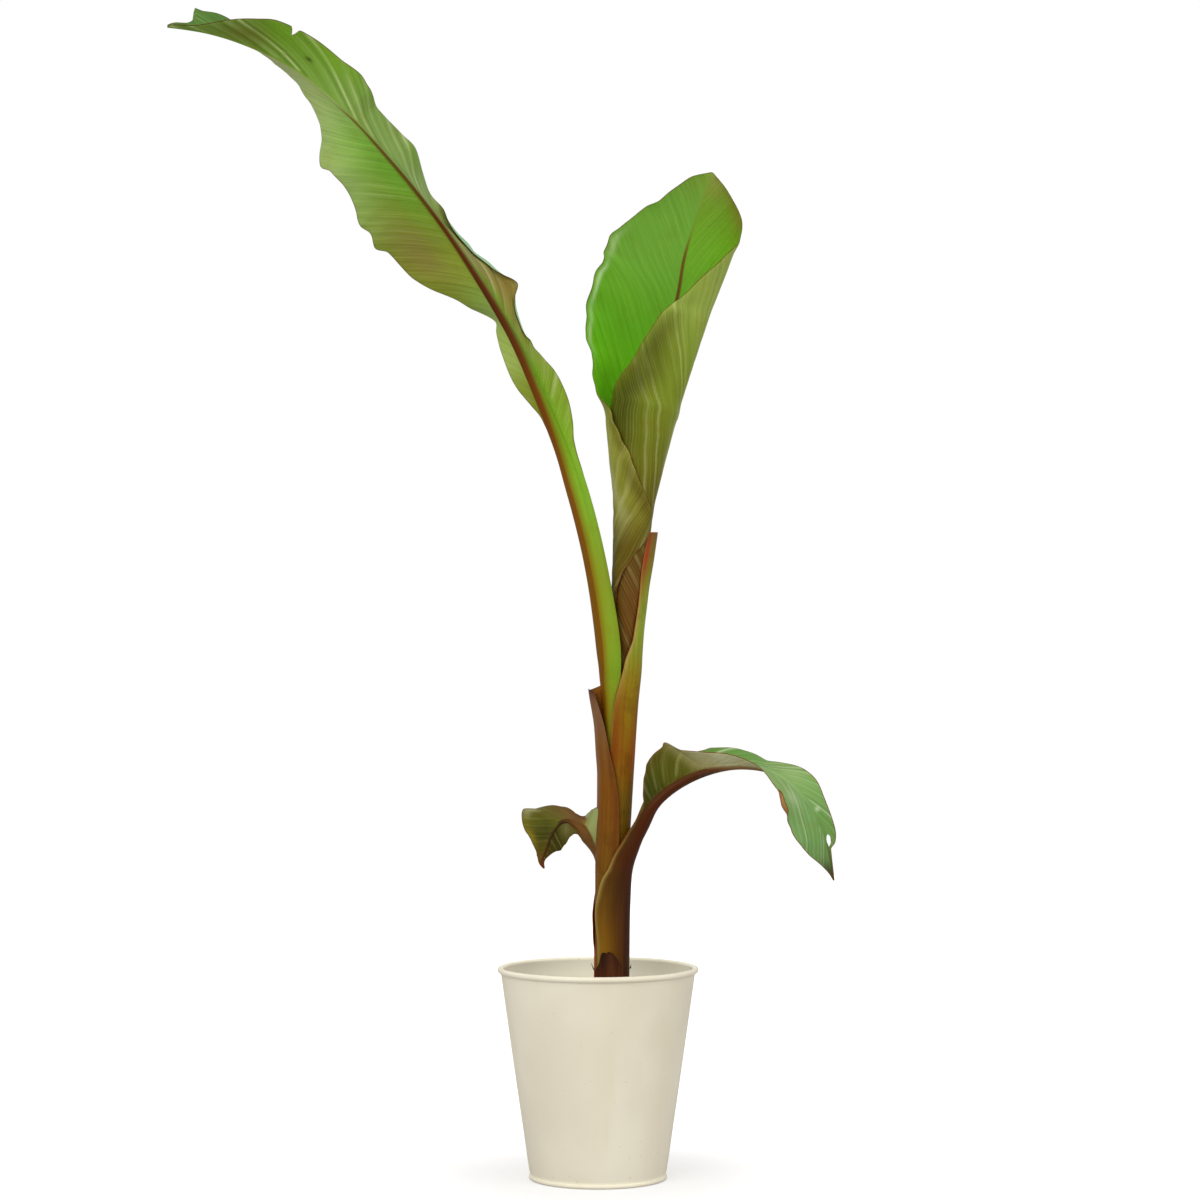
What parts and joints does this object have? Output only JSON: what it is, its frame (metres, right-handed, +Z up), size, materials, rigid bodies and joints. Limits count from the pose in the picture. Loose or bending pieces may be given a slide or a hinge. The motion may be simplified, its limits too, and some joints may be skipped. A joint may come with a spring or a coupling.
{
  "type": "potted banana plant",
  "caption": "Young banana plant in a tapered metal pot, with a leaning tall leaf, a rolled young leaf and two small drooping leaves.",
  "frame": {"origin": "middle of the pot's flat underside, on the surface that it stands on", "axes": "+Z up, +X to the right of the plant's front, which faces -Y"},
  "size_m": [0.6888, 0.211, 1.2151],
  "materials": {
    "pot_metal": "satin cream paint",
    "soil": "dark moist potting soil",
    "stem": "smooth orange-green stem sheath",
    "old_sheath": "waxy red-brown old sheath",
    "dead_scale": "dry dark brown scale",
    "stalk": "waxy green leaf stalk with a red-brown keel",
    "leaf": "waxy green leaf with fine cross veins",
    "young_leaf": "glossy fresh green leaf, olive outside",
    "old_leaf": "olive-brown ageing leaf"
  },
  "bodies": {
    "root": {"pot": "pot_metal", "potting_soil": "soil", "stem_core": "stem", "centre_sheath": "stem", "left_stub_sheath": "old_sheath", "arching_leaf_sheath": "old_sheath", "small_leaf_sheath": "old_sheath", "base_scale": "dead_scale", "tall_leaf_stalk": "stalk", "tall_leaf_lower": "leaf", "tall_leaf_upper": "leaf", "rolled_leaf": "young_leaf", "arching_leaf_inner": "leaf", "arching_leaf_outer": "leaf", "small_leaf_inner": "old_leaf", "small_leaf_outer": "old_leaf"}
  },
  "joints": []
}
